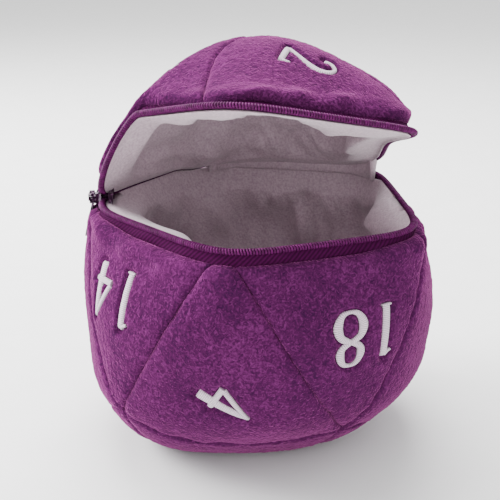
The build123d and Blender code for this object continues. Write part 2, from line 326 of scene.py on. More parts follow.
# Strokes of each figure on a box 12 wide and 20 high: x, y and the stroke's width there
FIGURES = {
    "0": [
        [(6, 19.3, 1.2), (9, 17.2, 2.5), (10.4, 10, 3.2), (9, 2.8, 2.5), (6, 0.7, 1.2)],
        [(6, 0.7, 1.2), (3, 2.8, 2.5), (1.6, 10, 3.2), (3, 17.2, 2.5), (6, 19.3, 1.2)],
    ],
    "1": [
        [(6.2, 19.2, 2.6), (6.2, 13, 2.8), (6.2, 7, 2.8), (6.2, 0.8, 2.6)],
        [(6, 18.9, 1.5), (4.6, 17.8, 1.2), (3.2, 17.4, 0.7)],
        [(4.3, 0.6, 0.7), (6.2, 0.7, 1.0), (8.1, 0.6, 0.7)],
    ],
    "2": [
        [(2.2, 14.6, 2.6), (2.4, 17.4, 1.6), (5.6, 19.4, 1.2), (9, 17.9, 2.4), (9.9, 14.4, 3.0),
         (8.2, 10.4, 2.3), (4.6, 5.6, 1.5), (1.2, 1.5, 1.3)],
        [(0.9, 1.3, 2.0), (6, 1.3, 2.2), (11, 1.3, 2.0)],
        [(10.8, 1.3, 1.6), (11.3, 3, 1.2), (11.5, 4.8, 0.9)],
    ],
    "3": [
        [(1.8, 16, 2.4), (3, 18.7, 1.4), (6, 19.4, 1.2), (9, 17.5, 2.4), (9.2, 14, 2.7),
         (7.4, 11.2, 1.4), (4.6, 10.6, 1.1)],
        [(5, 10.6, 1.1), (8, 10, 1.6), (10.4, 6.8, 2.9), (9.8, 3, 2.7), (6.6, 0.7, 1.3),
         (3.4, 1, 1.3), (1.6, 3.6, 2.4)],
    ],
    "4": [
        [(8.5, 20, 0.7), (8.5, 15, 2.2), (8.4, 7, 3.0), (8.4, 0.7, 3.6)],
        [(8.4, 19.2, 0.9), (5.2, 13, 1.8), (2.0, 7.2, 1.9)],
        [(1.6, 6.6, 2.0), (6, 6.6, 2.0), (11.2, 6.6, 1.9)],
    ],
    "5": [
        [(3, 18.6, 2.3), (6.6, 18.6, 2.3), (10.6, 18.9, 2.0)],
        [(3, 18.6, 1.2), (2.6, 14.8, 1.2), (2.3, 10.8, 1.2)],
        [(2.3, 10.8, 1.2), (5.6, 12.2, 1.4), (9.3, 10.6, 2.5), (10.3, 6.4, 3.0), (8.4, 2, 2.2),
         (4.8, 0.7, 1.3), (1.7, 3.4, 2.4)],
    ],
    "6": [
        [(9.8, 17, 2.2), (8.2, 19.2, 1.4), (5.2, 18.2, 1.6), (2.4, 13.6, 2.7), (1.7, 7.6, 3.0),
         (3, 2.4, 2.4), (6.2, 0.7, 1.3), (9.4, 2.4, 2.3), (10.3, 6.2, 2.8), (8.8, 10.4, 2.0),
         (6, 11.6, 1.3), (3, 9.6, 1.3)],
    ],
    "7": [
        [(1.2, 15.4, 1.1), (1.3, 17, 1.3), (1.6, 18.6, 1.6)],
        [(1.4, 18.5, 2.2), (6, 18.5, 2.2), (11, 18.5, 2.2)],
        [(10.8, 18.4, 1.3), (7.6, 11.5, 1.9), (5.4, 5, 2.7), (5, 0.8, 3.0)],
    ],
    "8": [
        [(6, 10.9, 1.5), (2.9, 12.6, 2.2), (2.1, 15.3, 2.9), (3.4, 18.4, 1.9), (6, 19.3, 1.2),
         (8.6, 18.4, 1.9), (9.9, 15.3, 2.9), (9.1, 12.6, 2.2), (6, 10.9, 1.5)],
        [(6, 10.9, 1.5), (2.3, 8.8, 2.5), (1.3, 5.2, 3.2), (3, 1.7, 2.0), (6, 0.7, 1.2),
         (9, 1.7, 2.0), (10.7, 5.2, 3.2), (9.7, 8.8, 2.5), (6, 10.9, 1.5)],
    ],
}
FIGURES["9"] = [[(12 - x, 20 - y, w) for x, y, w in FIGURES["6"][0]]]
FIGURE_PITCH = 14.0
FIGURE_SAMPLES = 26  # along each stretch between two of a stroke's points


def stroke_line(points):
    """A smooth line through a stroke's points, as x, y and width."""
    p = np.array(points, float)
    p = np.concatenate([2 * p[:1] - p[1:2], p, 2 * p[-1:] - p[-2:-1]])
    t = np.linspace(0, 1, FIGURE_SAMPLES, endpoint=False)[:, None]
    parts = []
    for a, b, c, d in zip(p, p[1:], p[2:], p[3:]):
        cubic = (2 * a - 5 * b + 4 * c - d) * t**2 + (3 * b - a - 3 * c + d) * t**3
        parts.append(0.5 * (2 * b + (c - a) * t + cubic))
    return np.concatenate([*parts, p[-2:-1]])


def numeral_strokes(value, height):
    """Stroke lines of a number, centred, its figures that many millimetres high."""
    text, scale = str(value), height / 20
    left = -(len(text) * FIGURE_PITCH - 2) / 2
    lines = []
    for place, figure in enumerate(text):
        for stroke in FIGURES[figure]:
            line = stroke_line(stroke)
            line[:, 0] += left + place * FIGURE_PITCH
            line[:, 1] -= 10
            line[:, 2] *= STROKE_WEIGHT
            lines.append(line * scale)
    return lines


class Spot:
    """A number's place on the ball, with its own flat x and y."""

    def __init__(self, value, azimuth, tilt, lean, height):
        self.value = value
        self.lines = numeral_strokes(value, height)
        a, t, turn = (math.radians(v) for v in (azimuth, tilt, lean))
        self.out = radial(a, t)
        east = np.array([math.cos(a), math.sin(a), 0])
        north = np.cross(self.out, east)
        self.x = east * math.cos(turn) + north * math.sin(turn)
        self.y = north * math.cos(turn) - east * math.sin(turn)

    def place(self, x, y):
        """Azimuth and tilt, in radians, of flat points."""
        reach = np.hypot(x, y)
        angle = reach / BALL_R
        way = (x[..., None] * self.x + y[..., None] * self.y) / np.maximum(reach, 1e-9)[..., None]
        ray = np.cos(angle)[..., None] * self.out + np.sin(angle)[..., None] * way
        return np.arctan2(ray[..., 0], -ray[..., 1]), np.arccos(np.clip(ray[..., 2], -1, 1))

    def clearance(self, azimuth, tilt):
        """Distance from the stitched strokes' edges, negative inside them."""
        ray = radial(azimuth, tilt)
        angle = np.arccos(np.clip(ray @ self.out, -1, 1))
        side = ray - (ray @ self.out)[..., None] * self.out
        side /= np.maximum(np.linalg.norm(side, axis=-1), 1e-9)[..., None]
        x, y = side @ self.x * angle * BALL_R, side @ self.y * angle * BALL_R
        best = np.full(x.shape, 1e3)
        close = np.hypot(x, y) < 24
        flat = np.stack([x[close], y[close]], -1)
        for line in self.lines:
            line = line[::4]
            gap = np.sqrt(((flat[:, None] - line[None, :, :2]) ** 2).sum(-1)) - line[None, :, 2] / 2
            best[close] = np.minimum(best[close], gap.min(1))
        return best


NUMBER_HEIGHT = 21.6
STROKE_WEIGHT = 1.08
# Numbers that are sewn off the middle of their panel: turn and tilt
DOWN_SPOTS = {0: (8.5, 89.3), 4: (-5, 83)}
UP_SPOTS = {1: (24, 108)}
LID_SPOTS = {0: (0, 30), 4: (-24, 40)}
SPOTS = {}
for side in range(SIDES):
    middle, corner = (side + 0.5) * STEP, side * STEP
    for values, own, usual, about, lean, height in (
        (LID_NUMBERS, LID_SPOTS, (0, 34), middle, -125, NUMBER_HEIGHT),
        (DOWN_NUMBERS, DOWN_SPOTS, (0, 87), middle, 180, NUMBER_HEIGHT),
        (UP_NUMBERS, UP_SPOTS, (1, 108), corner, -120, NUMBER_HEIGHT),
        (BASE_NUMBERS, {}, (0, 157), corner, 0, 0.7 * NUMBER_HEIGHT),
    ):
        turn, tilt = own.get(side, usual)
        SPOTS[values[side]] = Spot(values[side], about + turn, tilt, lean, height)


# ---------------------------------------------------------------- plush panels


def seam_azimuth(first, last, tilt):
    """Azimuth at each tilt, in degrees, of the seam between two corners given the same way."""
    ends = [radial(*(math.radians(v) for v in corner)) for corner in (first, last)]
    share = np.linspace(-0.12, 1, 400)[:, None]
    line = ends[0] * (1 - share) + ends[1] * share
    tilts = np.degrees(np.arctan2(np.hypot(line[:, 0], line[:, 1]), line[:, 2]))
    turns = np.degrees(np.unwrap(np.arctan2(line[:, 0], -line[:, 1])))
    turns += 360 * np.round((last[0] - turns[-1]) / 360)
    return np.interp(tilt, tilts, turns)


def seam_tilt(first, last, azimuth):
    """Tilt at each azimuth, in degrees, of the seam between two corners."""
    ends = [radial(*(math.radians(v) for v in corner)) for corner in (first, last)]
    n = np.cross(*ends)
    a = np.radians(azimuth)
    return np.degrees(np.arctan2(n[2], -(n[0] * np.sin(a) - n[1] * np.cos(a)))) % 180


def back_share(azimuth):
    """1 along the hinge side, 0 along the four zipped sides."""
    turn = azimuth % 360
    first, last = HINGE_CORNERS
    return smooth(first - 3, first + 3, turn) * (1 - smooth(last - 3, last + 3, turn))


def body_edge(azimuth):
    """Tilt, in degrees, where the body's plush ends below the zip or the hinge."""
    share = back_share(azimuth)
    from_front = np.abs((azimuth + 180) % 360 - 180)
    side = smooth(*BODY_SIDE_FROM, from_front)
    front = BODY_EDGE_TILT * (1 - side) + BODY_SIDE_TILT * side
    return front * (1 - share) + BACK_BODY_TILT * share


def lid_edge(azimuth):
    """Tilt, in degrees, where the lid's plush ends above the zip or the hinge."""
    share = back_share(azimuth)
    ring = radial(np.radians(azimuth), math.radians(LID_EDGE_TILT)) * BALL_R
    ripple = 0.9 * wobble(ring, 26, seed=11) * (1 - share)
    return LID_EDGE_TILT * (1 - share) + BACK_LID_TILT * share - ripple


def panel_grid(kind, side):
    """Azimuths and tilts, in degrees, of one panel's grid, its first row at the top."""
    v = np.linspace(0, 1, ROWS)[:, None]
    u = np.linspace(0, 1, COLUMNS)[None]
    corner = side * STEP
    before, low = LOW_CORNERS[side - 1], LOW_CORNERS[side]
    if side == 0:
        before = (before[0] - 360, before[1])
    if kind == "lid":
        seams = [*LID_SEAMS, LID_SEAMS[0] + 360]
        skew = [LID_SEAM_SKEW, 0, 0, 0, 0, LID_SEAM_SKEW]
        left = seams[side] - skew[side] * v
        right = seams[side + 1] - skew[side + 1] * v
        azimuth = left * (1 - u) + right * u
        return azimuth, lid_edge(azimuth) * (1 - v)
    if kind == "base":
        azimuth = before[0] * (1 - u) + low[0] * u + 0 * v
        return azimuth, seam_tilt(before, low, azimuth) * (1 - v) + 180 * v
    if kind == "down":
        tilt = body_edge(corner + STEP * u) * (1 - v) + low[1] * v
        left = seam_azimuth((corner, RIM_TILT), low, tilt)
        right = seam_azimuth((corner + STEP, RIM_TILT), low, tilt)
        return left * (1 - u) + right * u, tilt
    edge = body_edge(corner + 6 * (2 * u - 1))
    left_tilt, right_tilt = (edge * (1 - v) + end[1] * v for end in (before, low))
    left = seam_azimuth((corner, RIM_TILT), before, left_tilt)
    right = seam_azimuth((corner, RIM_TILT), low, right_tilt)
    dip = seam_tilt(before, low, before[0] * (1 - u) + low[0] * u) - before[1] * (1 - u) - low[1] * u
    return left * (1 - u) + right * u, left_tilt * (1 - u) + right_tilt * u + dip * v**2


SEAM_DEPTH = 1.1
SEAM_WIDTH = 1.0
EDGE_ROLL = 1.8  # the plush turns in towards the zip tape
EDGE_WIDTH = 1.3
EDGE_SWELL = 0.9  # and swells just before that
PUFF = 0.6  # the middle of a panel stands this far out, over this distance from its seams
PUFF_REACH = 9
PUCKER = 0.3  # the cloth puckers beside its seams
PUCKER_REACH = 4
NUMBER_PRESS = 1.5  # the stitches press the pile down under a number
PILE = 0.22  # height of the uneven pile that shows in the surface itself
PLUSH_THICK = 2.2


def pile(points, wavelength, seed):
    """Fine uneven nap, one value for each point."""
    shift = Vector((seed, 2.3 * seed, 4.1 * seed))
    flat = points.reshape(-1, 3) / wavelength
    values = [noise.noise(Vector(p) + shift) for p in flat]
    return np.array(values).reshape(points.shape[:-1])


def plush_panel(kind, side, value):
    """Outer and inner grid of one puffed panel with its seams turned in."""
    azimuth, tilt = (np.radians(a) for a in panel_grid(kind, side))
    out = radial(azimuth, tilt)
    points = skin(azimuth, tilt)
    seams = [points[:, 0], points[:, -1]]
    if kind == "base":
        seams.append(points[0])
    if kind == "up":
        seams.append(points[-1])
    to_seam = nearest(points, np.concatenate(seams))
    depth = -SEAM_DEPTH * np.exp(-((to_seam / SEAM_WIDTH) ** 1.5))
    depth += PUFF * (1 - np.exp(-to_seam / PUFF_REACH))
    depth += PUCKER * wobble(points, 8, seed=40 + value) * np.exp(-to_seam / PUCKER_REACH)
    if kind != "base":
        to_edge = nearest(points, points[0])
        back = back_share(np.degrees(azimuth))
        depth -= EDGE_ROLL * np.exp(-((to_edge / EDGE_WIDTH) ** 1.6)) * (1 - 0.6 * back)
        swell = EDGE_SWELL + 0.7 * wobble(points, 13, seed=70 + value)
        depth += swell * np.exp(-(((to_edge - 4) / 4) ** 2)) * (1 - back)
    press = SPOTS[value].clearance(azimuth, tilt)
    depth -= NUMBER_PRESS * (1 - smooth(0.0, 1.2, press))
    nap = 0.5 * pile(points, 2.6, seed=5.0) + 0.9 * pile(points, 1.2, seed=9.0)
    depth += PILE * nap * smooth(0, 1.2, press)
    outer = points + out * depth[..., None]
    inner = points + out * (np.minimum(depth, 0) - PLUSH_THICK)[..., None]
    for grid in (outer, inner):
        grid[..., 2] = np.maximum(grid[..., 2], 0)
    return outer, inner


# Section of the satin stitch: its crown over the skin, how square it is and where its edges lie
STITCH_RISE = 0.6
STITCH_SQUARENESS = 3.2
STITCH_SINK = 0.45
STITCH_UNDERSIDE = -0.95
STITCH_END_DROP = 0.7


def numeral_mesh(spot):
    """Closed ribbons of satin stitch along a number's strokes, with their own UV."""
    across = np.array([-1.0, -0.93, -0.72, -0.38, 0.0, 0.38, 0.72, 0.93, 1.0])
    rise = STITCH_RISE * (1 - np.abs(across) ** STITCH_SQUARENESS) - STITCH_SINK
    section = np.concatenate([across, [0.9, -0.9]])  # back along the underside
    rise = np.concatenate([rise, [STITCH_UNDERSIDE, STITCH_UNDERSIDE]])
    points, faces, uv, base = [], [], [], 0
    for line in spot.lines:
        step = np.gradient(line[:, :2], axis=0)
        step /= np.maximum(np.linalg.norm(step, axis=1), 1e-9)[:, None]
        normal = np.stack([-step[:, 1], step[:, 0]], -1)
        flat = line[:, None, :2] + normal[:, None] * (section[None, :, None] * line[:, None, 2:] / 2)
        azimuth, tilt = spot.place(flat[..., 0], flat[..., 1])
        ends = np.minimum(np.arange(len(line)), np.arange(len(line))[::-1])
        lift = rise[None] - STITCH_END_DROP * np.exp(-ends / 1.2)[:, None]
        grid = skin(azimuth, tilt) + radial(azimuth, tilt) * lift[..., None]
        grid[..., 2] = np.maximum(grid[..., 2], LEAST_Z / 2)
        count, around = grid.shape[:2]
        length = np.concatenate([[0], np.cumsum(np.linalg.norm(np.diff(line[:, :2], axis=0), axis=1))])
        points.append(grid.reshape(-1, 3))
        sideways = section[None] * line[:, 2:] / 2
        uv.append(np.stack(np.broadcast_arrays(length[:, None], sideways), -1).reshape(-1, 2))
        faces += tube_faces(count, around, base)
        base += count * around
    return np.concatenate(points), faces, np.concatenate(uv)


# ---------------------------------------------------------------- materials


def linear(code):
    """An sRGB hex colour as linear RGBA."""
    values = [int(code[i : i + 2], 16) / 255 for i in (1, 3, 5)]
    return (*[v / 12.92 if v <= 0.04045 else ((v + 0.055) / 1.055) ** 2.4 for v in values], 1.0)


WAVE_SCALE = 0.314  # a wave texture of this scale has one band to the unit


def add_node(tree, kind, inputs=None, links=None, **settings):
    """A node with its settings, its input values and the sockets that feed it."""
    node = tree.nodes.new(kind)
    for name, value in settings.items():
        setattr(node, name, value)
    for name, value in (inputs or {}).items():
        node.inputs[name].default_value = value
    for name, source in (links or {}).items():
        tree.links.new(source, node.inputs[name])
    return node


class Looks:
    """One material's tree, with the few kinds of node that every look is made from."""

    def __init__(self, name, inputs):
        self.material = bpy.data.materials.new(name)
        self.material.use_nodes = True
        self.tree = self.material.node_tree
        self.shader = self.tree.nodes["Principled BSDF"]
        for label, value in inputs.items():
            self.shader.inputs[label].default_value = value
        place = add_node(self.tree, "ShaderNodeTexCoord")
        self.spot = place.outputs["Object"]
        self.along = place.outputs["UV"]

    def noise(self, scale, vector, **inputs):
        """Uneven noise at a scale."""
        inputs = {name.capitalize(): value for name, value in inputs.items()}
        return add_node(self.tree, "ShaderNodeTexNoise", {"Scale": scale, **inputs},
                        {"Vector": vector}).outputs["Fac"]

    def waves(self, pitch, direction, **inputs):
        """Bands across the UV, at a pitch in millimetres."""
        inputs = {name.replace("_", " ").title(): value for name, value in inputs.items()}
        return add_node(self.tree, "ShaderNodeTexWave", {"Scale": WAVE_SCALE / pitch, **inputs},
                        {"Vector": self.along}, bands_direction=direction).outputs["Fac"]

    def mix(self, factor, first, second):
        """One value blended into another."""
        return add_node(self.tree, "ShaderNodeMix", {"Factor": factor}, {2: first, 3: second},
                        data_type="FLOAT").outputs[0]

    def bump(self, strength, distance, height, under=None):
        """A bump, its distance in millimetres, over another one."""
        links = {"Height": height}
        if under is not None:
            links["Normal"] = under
        return add_node(self.tree, "ShaderNodeBump", {"Strength": strength, "Distance": distance * MM},
                        links).outputs["Normal"]

    def finish(self, source, stops, normal=None):
        """The material, its colour from a ramp of positions and hex colours."""
        node = add_node(self.tree, "ShaderNodeValToRGB", links={"Fac": source})
        elements = node.color_ramp.elements
        while len(elements) < len(stops):
            elements.new(0.5)
        for element, (position, code) in zip(elements, stops):
            element.position = position
            element.color = linear(code)
        self.tree.links.new(node.outputs["Color"], self.shader.inputs["Base Color"])
        if normal is not None:
            self.tree.links.new(normal, self.shader.inputs["Normal"])
        return self.material


def plush_material(shade, light, deep, sheen):
    """Cut-pile polyester plush: short dense fibres, with painted shade into the pile and painted light on its
    tips, and pale at a glancing angle from the sheen.
    """
    looks = Looks("plush_cut_pile_polyester", {
        "Roughness": 0.95, "Specular IOR Level": 0.02, "Sheen Weight": 0.55,
        "Sheen Roughness": 0.32, "Sheen Tint": linear(sheen)})
    # The nap curls into short tufts, with finer ones of half their width among them
    clump = looks.noise(1 / (1.7 * MM), looks.spot, detail=1.0, distortion=1.6)
    tuft = looks.noise(1 / (0.8 * MM), looks.spot, detail=1.0, distortion=0.8)
    # Brushed patches, about 20 mm across, where the pile leans another way; they only tint the ramp, as
    # painted light and shade
    patch = looks.noise(1 / (22 * MM), looks.spot, detail=3.0)
    whole = looks.mix(0.25, looks.mix(0.35, clump, tuft), patch)
    normal = looks.bump(0.5, 0.35, tuft, under=looks.bump(0.7, 0.7, clump))
    # The ramp paints shade between the tufts and light on their tips, around the plush's own colour
    return looks.finish(whole, [(0.36, deep), (0.5, shade), (0.64, light)], normal)


def satin_stitch_material(thread, gap):
    """Rayon embroidery thread in satin stitch: pale, softly glossy, fine lines across each stroke, with
    painted shade in the grooves between the threads.
    """
    looks = Looks("satin_stitch_rayon_thread", {"Roughness": 0.5, "Sheen Weight": 0.3})
    # Threads lie about 0.4 mm apart and are drawn at 0.7 mm, the finest that shows
    threads = looks.waves(0.7, "X", distortion=0.9, detail=2.0, detail_scale=1.5)
    # The gap colour is painted shade in the grooves between the threads
    return looks.finish(threads, [(0.0, gap), (0.45, thread), (1.0, thread)],
                        looks.bump(0.6, 0.35, threads))


def tape_material(shade, dark):
    """Woven polyester zip tape: a close herringbone with a dull shine, with painted shade in its grooves."""
    looks = Looks("zip_tape_woven_polyester", {"Roughness": 0.75, "Specular IOR Level": 0.02})
    # Ribs are about 0.5 mm apart and are drawn at 0.9 mm, the finest that shows
    ribs = looks.waves(0.9, "DIAGONAL", distortion=0.6, detail=1.0)
    weave = looks.mix(0.5, ribs, looks.noise(0.9, looks.along, detail=3.0))
    # The dark end of the ramp is painted shade in the grooves of the ribs, mixed with uneven tone from the
    # noise
    return looks.finish(weave, [(0.25, dark), (0.75, shade)], looks.bump(0.5, 0.3, weave))


def coil_material(shade, dark):
    """Moulded nylon monofilament coil: smooth and slightly glossy, in uneven shade."""
    looks = Looks("zip_coil_nylon", {"Roughness": 0.5, "Specular IOR Level": 0.12})
    grain = looks.noise(1 / (1.6 * MM), looks.spot, detail=2.0)
    return looks.finish(grain, [(0.35, dark), (0.65, shade)])


def lining_material(shade, dark):
    """Plain-woven polyester lining: matt off-white cloth with a fine even weave and soft creases."""
    looks = Looks("lining_plain_weave_polyester", {"Roughness": 0.9, "Sheen Weight": 0.25})
    # Threads about 0.45 mm apart, long one way and short the other, drawn at 0.7 mm
    threads = []
    for scale in ((1.4, 0.25, 1.0), (0.25, 1.4, 1.0)):
        turned = add_node(looks.tree, "ShaderNodeMapping", {"Scale": scale}, {"Vector": looks.along})
        threads.append(looks.noise(1.0, turned.outputs[0], detail=1.0))
    weave = add_node(looks.tree, "ShaderNodeMath", links=dict(enumerate(threads)), operation="MULTIPLY")
    slub = looks.noise(1 / (0.9 * MM), looks.spot, detail=3.0)
    crease = looks.noise(1 / (14 * MM), looks.spot, detail=4.0, roughness=0.55)
    cloth = looks.mix(0.6, weave.outputs[0], slub)
    normal = looks.bump(0.4, 0.25, cloth, under=looks.bump(0.5, 2.5, crease))
    return looks.finish(cloth, [(0.22, dark), (0.5, shade)], normal)


def foam_material():
    """Bonded polyester wadding: off-white, matt and fluffy."""
    looks = Looks("padding_polyester_wadding", {"Roughness": 1.0})
    fluff = looks.noise(1 / (3 * MM), looks.spot, detail=4.0)
    return looks.finish(fluff, [(0.3, "#cfcbc6"), (0.7, "#efece8")], looks.bump(0.6, 1, fluff))


def enamel_material(shade):
    """Die-cast zinc slider in baked enamel: dark, smooth, softly shining, with paler worn patches."""
    looks = Looks("slider_enamelled_zinc", {"Roughness": 0.38, "Coat Weight": 0.3})
    wear = looks.noise(1 / (1.2 * MM), looks.spot, detail=4.0)
    return looks.finish(wear, [(0.4, shade), (0.75, "#5d3758")], looks.bump(0.15, 0.1, wear))


def floor_material():
    """Matt painted board, plain and pale."""
    looks = Looks("stage_matt_board", {"Roughness": 0.9, "Specular IOR Level": 0.1})
    grain = looks.noise(40.0, looks.spot, detail=2.0)
    return looks.finish(grain, [(0.0, "#f4f4f4"), (1.0, "#fbfbfb")])


MADE = {}


def material_for(slot):
    """The one material of each of the record's slots, made when it is first asked for."""
    colours = bpy.context.scene.dice_bag
    makers = {
        "plush": lambda: plush_material(colours.plush, colours.plush_light, colours.plush_deep,
                                        colours.plush_sheen),
        "embroidery": lambda: satin_stitch_material(colours.thread, colours.thread_gap),
        "zip_tape": lambda: tape_material(colours.tape, colours.tape_dark),
        "zip_coil": lambda: coil_material(colours.coil, colours.coil_dark),
        "lining": lambda: lining_material(colours.lining, colours.lining_dark),
        "padding": foam_material,
        "zip_metal": lambda: enamel_material(colours.enamel),
        "stage": floor_material,
    }
    if slot not in MADE:
        MADE[slot] = makers[slot]()
    return MADE[slot]


# ---------------------------------------------------------------- joining pieces to the frame

HINGE_SLAB = (RIM_Z - 1.6, RIM_Z + 1.6)  # the hinge's cloth turns between these heights


def attach(obj, body, nodes):
    """Hides the frame's parts that a piece replaces, then parents the piece to its body's empty, or on the
    lid and the hinge bakes its placement into the mesh.
    """
    if nodes:
        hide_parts(*nodes)
    if body == "hinge":
        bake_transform(obj)
    elif body == "lid":
        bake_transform(obj)
    else:
        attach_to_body(obj, body)
    return obj


def make(name, points, faces, slot, body, nodes, uv=None):
    """A piece from shut positions in millimetres, put in its stored place and attached."""
    points = np.asarray(points).reshape(-1, 3)
    if body == "lid":
        points = lifted(tucked(points))
    if body == "hinge":
        points = lifted(points, UP, *HINGE_SLAB)
    obj = finish_mesh(name, points, faces, material_for(slot), uv)
    return attach(obj, body, nodes)


# ---------------------------------------------------------------- rings round the mouth


def rim_point(azimuth, height, inset):
    """A point inset from the rim line, at a height above it."""
    reach = mouth_radius(azimuth) - inset
    flat = np.stack([reach * np.sin(azimuth), -reach * np.cos(azimuth)], -1)
    return np.concatenate([flat, np.broadcast_to(RIM_Z + height, flat[..., :1].shape)], -1)


TAPE_UNDER = 2.7  # the tape's far edge lies this deep under the plush
TAPE_THICK = 0.5


def tape_grid(azimuths, side):
    """Outer and inner grid of one zip tape; side is 1 for the lid's and -1 for the body's."""
    a = azimuths[None]
    s = np.linspace(0, 1, 14)[:, None]
    near = rim_point(azimuths, side * 0.3, 0.95)[None]
    end_tilt = BODY_EDGE_TILT + 2.6 if side < 0 else LID_EDGE_TILT - 3.2
    end_tilt = math.radians(end_tilt)
    far = (skin(azimuths, end_tilt) - radial(azimuths, end_tilt) * TAPE_UNDER)[None]
    line = near * (1 - s[..., None]) + far * s[..., None]
    out = radial(a, (math.radians(RIM_TILT) * (1 - s) + end_tilt * s))
    wave = 0.3 * wobble(line, 12, seed=21) * np.sin(math.pi * s)
    line = line + out * (wave + 0.5 * np.sin(math.pi * s))[..., None]
    return line, line - out * TAPE_THICK


def rim_lengths(azimuths):
    """Distance along the rim at each azimuth, in millimetres."""
    points = rim_point(azimuths, 0, 0)
    steps = np.linalg.norm(np.diff(points, axis=0), axis=1)
    return np.concatenate([[0], np.cumsum(steps)])


# ---------------------------------------------------------------- geometry nodes


def node_group(name, sockets):
    """A geometry node tree with a geometry in and out and named inputs."""
    tree = bpy.data.node_groups.new(name, "GeometryNodeTree")
    tree.interface.new_socket("Geometry", in_out="INPUT", socket_type="NodeSocketGeometry")
    tree.interface.new_socket("Geometry", in_out="OUTPUT", socket_type="NodeSocketGeometry")
    for label, kind, value in sockets:
        tree.interface.new_socket(label, in_out="INPUT", socket_type=kind).default_value = value
    return tree, tree.nodes.new("NodeGroupInput"), tree.nodes.new("NodeGroupOutput")


def repeat_tree(name, material, shape):
    """Sets a small shape at an even pitch along a curve, turned to it."""
    sockets = [("Pitch", "NodeSocketFloat", 1.0 * MM), ("Width", "NodeSocketFloat", 1.0 * MM),
               ("Height", "NodeSocketFloat", 1.0 * MM), ("Thread", "NodeSocketFloat", 0.3 * MM)]
    tree, source, sink = node_group(name, sockets)
    given = source.outputs
    points = add_node(tree, "GeometryNodeCurveToPoints", mode="LENGTH",
                      links={"Curve": given["Geometry"], "Length": given["Pitch"]})
    if shape == "turn":
        # One turn of the coil: a thread bent into a flattened hoop
        hoop = add_node(tree, "GeometryNodeCurvePrimitiveCircle", {"Resolution": 12, "Radius": 0.5})
        size = add_node(tree, "ShaderNodeCombineXYZ", {"Z": 1.0}, {"X": given["Width"], "Y": given["Height"]})
        flat = add_node(tree, "GeometryNodeTransform", links={"Geometry": hoop.outputs["Curve"],
                        "Scale": size.outputs[0]})
        thread = add_node(tree, "GeometryNodeCurvePrimitiveCircle", {"Resolution": 6},
                          {"Radius": given["Thread"]})
        body = add_node(tree, "GeometryNodeCurveToMesh", links={"Curve": flat.outputs[0],
                        "Profile Curve": thread.outputs["Curve"]})
        lean = add_node(tree, "GeometryNodeTransform", {"Rotation": (0.22, 0.0, 0.0)},
                        {"Geometry": body.outputs[0]})
        result = lean.outputs[0]
    else:
        # One stitch: a short thread that dips at both ends
        ball = add_node(tree, "GeometryNodeMeshUVSphere", {"Segments": 8, "Rings": 6, "Radius": 0.5})
        size = add_node(tree, "ShaderNodeCombineXYZ", links={"X": given["Width"], "Y": given["Thread"],
                        "Z": given["Height"]})
        shaped = add_node(tree, "GeometryNodeTransform", links={"Geometry": ball.outputs["Mesh"],
                          "Scale": size.outputs[0]})
        result = shaped.outputs[0]
    soft = add_node(tree, "GeometryNodeSetShadeSmooth", links={"Geometry": result})
    placed = add_node(tree, "GeometryNodeInstanceOnPoints",
                      links={"Points": points.outputs["Points"], "Instance": soft.outputs[0],
                             "Rotation": points.outputs["Rotation"]})
    real = add_node(tree, "GeometryNodeRealizeInstances", links={"Geometry": placed.outputs[0]})
    finish = add_node(tree, "GeometryNodeSetMaterial", {"Material": material}, {"Geometry": real.outputs[0]})
    tree.links.new(finish.outputs[0], sink.inputs[0])
    return tree


def along_curve(name, points, tree, **values):
    """The plain mesh that a tree makes along a line of points, in millimetres."""
    curve = bpy.data.curves.new(name + "_line", "CURVE")
    curve.dimensions = "3D"
    curve.twist_mode = "Z_UP"
    spline = curve.splines.new("POLY")
    spline.points.add(len(points) - 1)
    spline.points.foreach_set("co", np.c_[points * MM, np.ones(len(points))].ravel())
    carrier = bpy.data.objects.new(name + "_carrier", curve)
    bpy.context.scene.collection.objects.link(carrier)
    modifier = carrier.modifiers.new("repeat", "NODES")
    modifier.node_group = tree
    for item in tree.interface.items_tree:
        if item.item_type == "SOCKET" and item.in_out == "INPUT" and item.name in values:
            modifier[item.identifier] = values[item.name]
    graph = bpy.context.evaluated_depsgraph_get()
    mesh = bpy.data.meshes.new_from_object(carrier.evaluated_get(graph))
    bpy.data.objects.remove(carrier)
    return mesh


# ---------------------------------------------------------------- lining and padding


def lobes(azimuth, tilt, places):
    """The loose lining's soft swellings, added up."""
    total = 0
    for around, down, wide, tall, depth in places:
        turn = (azimuth - around + 180) % 360 - 180
        total = total + depth * np.exp(-((turn / wide) ** 2) - ((tilt - down) / tall) ** 2)
    return total


def rim_inset(azimuth, from_rim):
    """How far inside the skin the lining is held at the zip and, deeper, at the hinge."""
    edge = skin(np.radians(azimuth), np.radians(RIM_TILT + 0 * azimuth))
    stands_out = np.hypot(edge[..., 0], edge[..., 1]) - mouth_radius(np.radians(azimuth))
    from_front = np.abs((azimuth + 180) % 360 - 180)
    return 1.9 + stands_out * np.exp(-((from_rim / 8) ** 2)) + 2.5 * smooth(126, 139, from_front)


LEAST_INSET = 1.3  # the lining stays at least this far inside the skin
# Swellings of the lining: azimuth, tilt, half widths and depth of each. In the body they stand in
# beside the zip. In the lid the cloth puffs up beside the zip on the left, is drawn in behind that
# and hangs in two lobes.
BODY_PILLOWS = ((-66, 65, 26, 6, 13), (-28, 66, 20, 6, 11), (22, 67, 14, 5, 6), (96, 66, 24, 7, 9))
LID_LOBES = ((-62, 53, 18, 7, 9), (-34, 50, 12, 8, 6), (-46, 34, 16, 12, -7), (-8, 30, 14, 22, 11),
             (18, 30, 10, 18, -7), (62, 42, 30, 18, 10), (112, 54, 26, 9, 11))


